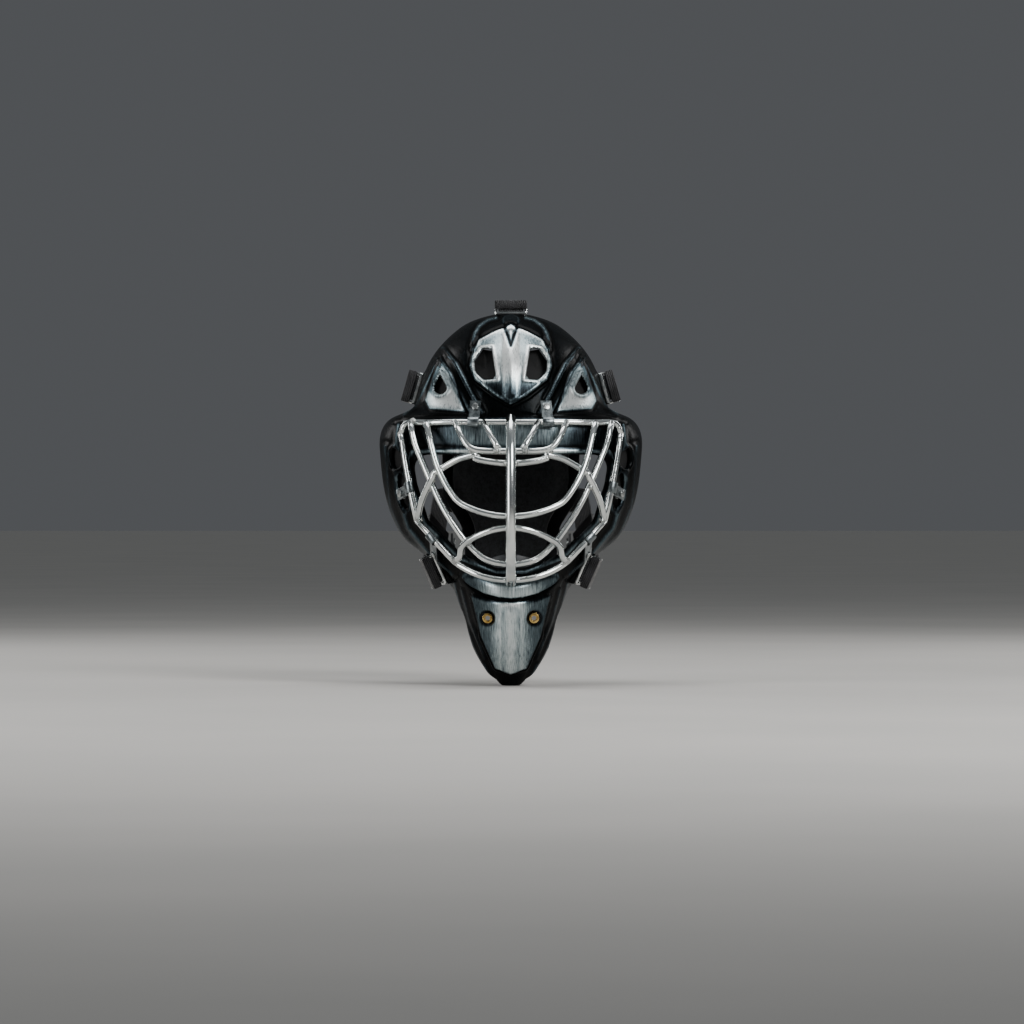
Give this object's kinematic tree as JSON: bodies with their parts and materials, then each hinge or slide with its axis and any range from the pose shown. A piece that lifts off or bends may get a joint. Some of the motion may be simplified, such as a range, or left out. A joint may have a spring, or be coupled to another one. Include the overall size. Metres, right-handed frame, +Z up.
{
  "type": "goalie mask",
  "caption": "Moulded ice hockey goalie mask with a welded wire cage, a padded inside, cam clips, elastic straps, a backplate and a chin cup.",
  "frame": {"origin": "middle of the wearer's head, between the ears", "axes": "+Z up to the crown, -Y out through the face, +X to the wearer's left"},
  "size_m": [0.2282, 0.2694, 0.3323],
  "materials": {
    "shell_paint": "satin gunmetal metallic paint over a fibreglass composite shell",
    "cage_steel": "polished steel rod",
    "clip_steel": "polished stainless steel",
    "fastener_steel": "zinc plated",
    "insert_brass": "turned",
    "lever_nylon": "moulded, ribbed",
    "backplate_plastic": "moulded",
    "pad_foam": "cloth covered foam",
    "sweatband_cloth": "brushed knit",
    "strap_webbing": "woven elastic",
    "chin_webbing": "woven nylon"
  },
  "bodies": {
    "mask": {"shell": "shell_paint", "cage_top_rail": "cage_steel", "cage_side_rails": "cage_steel", "cage_lower_rails": "cage_steel", "cage_bottom_rail": "cage_steel", "cage_eye_loop": "cage_steel", "cage_outer_loop": "cage_steel", "cage_brow_loop": "cage_steel", "cage_brow_struts": "cage_steel", "cage_eye_arches": "cage_steel", "cage_eye_bridge": "cage_steel", "cage_mouth_arch": "cage_steel", "cage_centre_bar": "cage_steel", "top_clip_base": "clip_steel", "top_clip_pin": "fastener_steel", "upper_left_clip_base": "clip_steel", "upper_left_clip_pin": "fastener_steel", "upper_right_clip_base": "clip_steel", "upper_right_clip_pin": "fastener_steel", "lower_left_clip_base": "clip_steel", "lower_left_clip_pin": "fastener_steel", "lower_right_clip_base": "clip_steel", "lower_right_clip_pin": "fastener_steel", "clip_screws": "fastener_steel", "clip_t_nuts": "fastener_steel", "cage_screws": "fastener_steel", "cage_t_nuts": "fastener_steel", "chin_strap_studs": "fastener_steel", "cage_top_clips": "clip_steel", "cage_side_clips": "clip_steel", "cage_jaw_clips": "clip_steel", "throat_guard_inserts": "insert_brass", "forehead_pad": "pad_foam", "crown_pad": "pad_foam", "temple_pad_left": "pad_foam", "temple_pad_right": "pad_foam", "jaw_pad_left": "pad_foam", "jaw_pad_right": "pad_foam", "sweatband": "sweatband_cloth"},
    "top_lever": {"top_clip_lever": "lever_nylon"},
    "upper_left_lever": {"upper_left_clip_lever": "lever_nylon"},
    "upper_right_lever": {"upper_right_clip_lever": "lever_nylon"},
    "lower_left_lever": {"lower_left_clip_lever": "lever_nylon"},
    "lower_right_lever": {"lower_right_clip_lever": "lever_nylon"},
    "backplate": {"backplate": "backplate_plastic", "backplate_liner": "pad_foam", "strap_rivets": "fastener_steel", "strap_sliders": "lever_nylon", "upper_strap_left": "strap_webbing", "upper_strap_right": "strap_webbing", "lower_strap_left": "strap_webbing", "lower_strap_right": "strap_webbing", "top_strap": "strap_webbing"},
    "chin_cup": {"chin_cup": "backplate_plastic", "chin_cup_pad": "pad_foam", "chin_strap_left": "chin_webbing", "chin_strap_right": "chin_webbing"}
  },
  "joints": [
    {"name": "top_lever_turn", "type": "hinge", "parent": "mask", "child": "top_lever", "pos_m": [0, 0.004, 0.1454], "axis": [-1, 0, 0], "range_deg": [0, 75]},
    {"name": "upper_left_lever_turn", "type": "hinge", "parent": "mask", "child": "upper_left_lever", "pos_m": [0.08796, 0.00211, 0.07463], "axis": [-0.2756, -0.0032, 0.9613], "range_deg": [0, 75]},
    {"name": "upper_right_lever_turn", "type": "hinge", "parent": "mask", "child": "upper_right_lever", "pos_m": [-0.08796, 0.00211, 0.07463], "axis": [-0.2756, 0.0032, -0.9613], "range_deg": [0, 75]},
    {"name": "lower_left_lever_turn", "type": "hinge", "parent": "mask", "child": "lower_left_lever", "pos_m": [0.0704, -0.04762, -0.08689], "axis": [0.4007, -0.0696, 0.9135], "range_deg": [0, 75]},
    {"name": "lower_right_lever_turn", "type": "hinge", "parent": "mask", "child": "lower_right_lever", "pos_m": [-0.0704, -0.04762, -0.08689], "axis": [0.4007, 0.0696, -0.9135], "range_deg": [0, 75]},
    {"name": "backplate_swing", "type": "hinge", "parent": "mask", "child": "backplate", "pos_m": [0, 0.033, 0.134], "axis": [1, 0, 0], "range_deg": [0, 20], "stiffness_Nm_per_rad": 2, "deforming": ["upper_strap_left", "upper_strap_right", "lower_strap_left", "lower_strap_right", "top_strap"]},
    {"name": "chin_cup_swing", "type": "hinge", "parent": "mask", "child": "chin_cup", "pos_m": [0, -0.08, -0.062], "axis": [1, 0, 0], "range_deg": [-8, 15]}
  ]
}
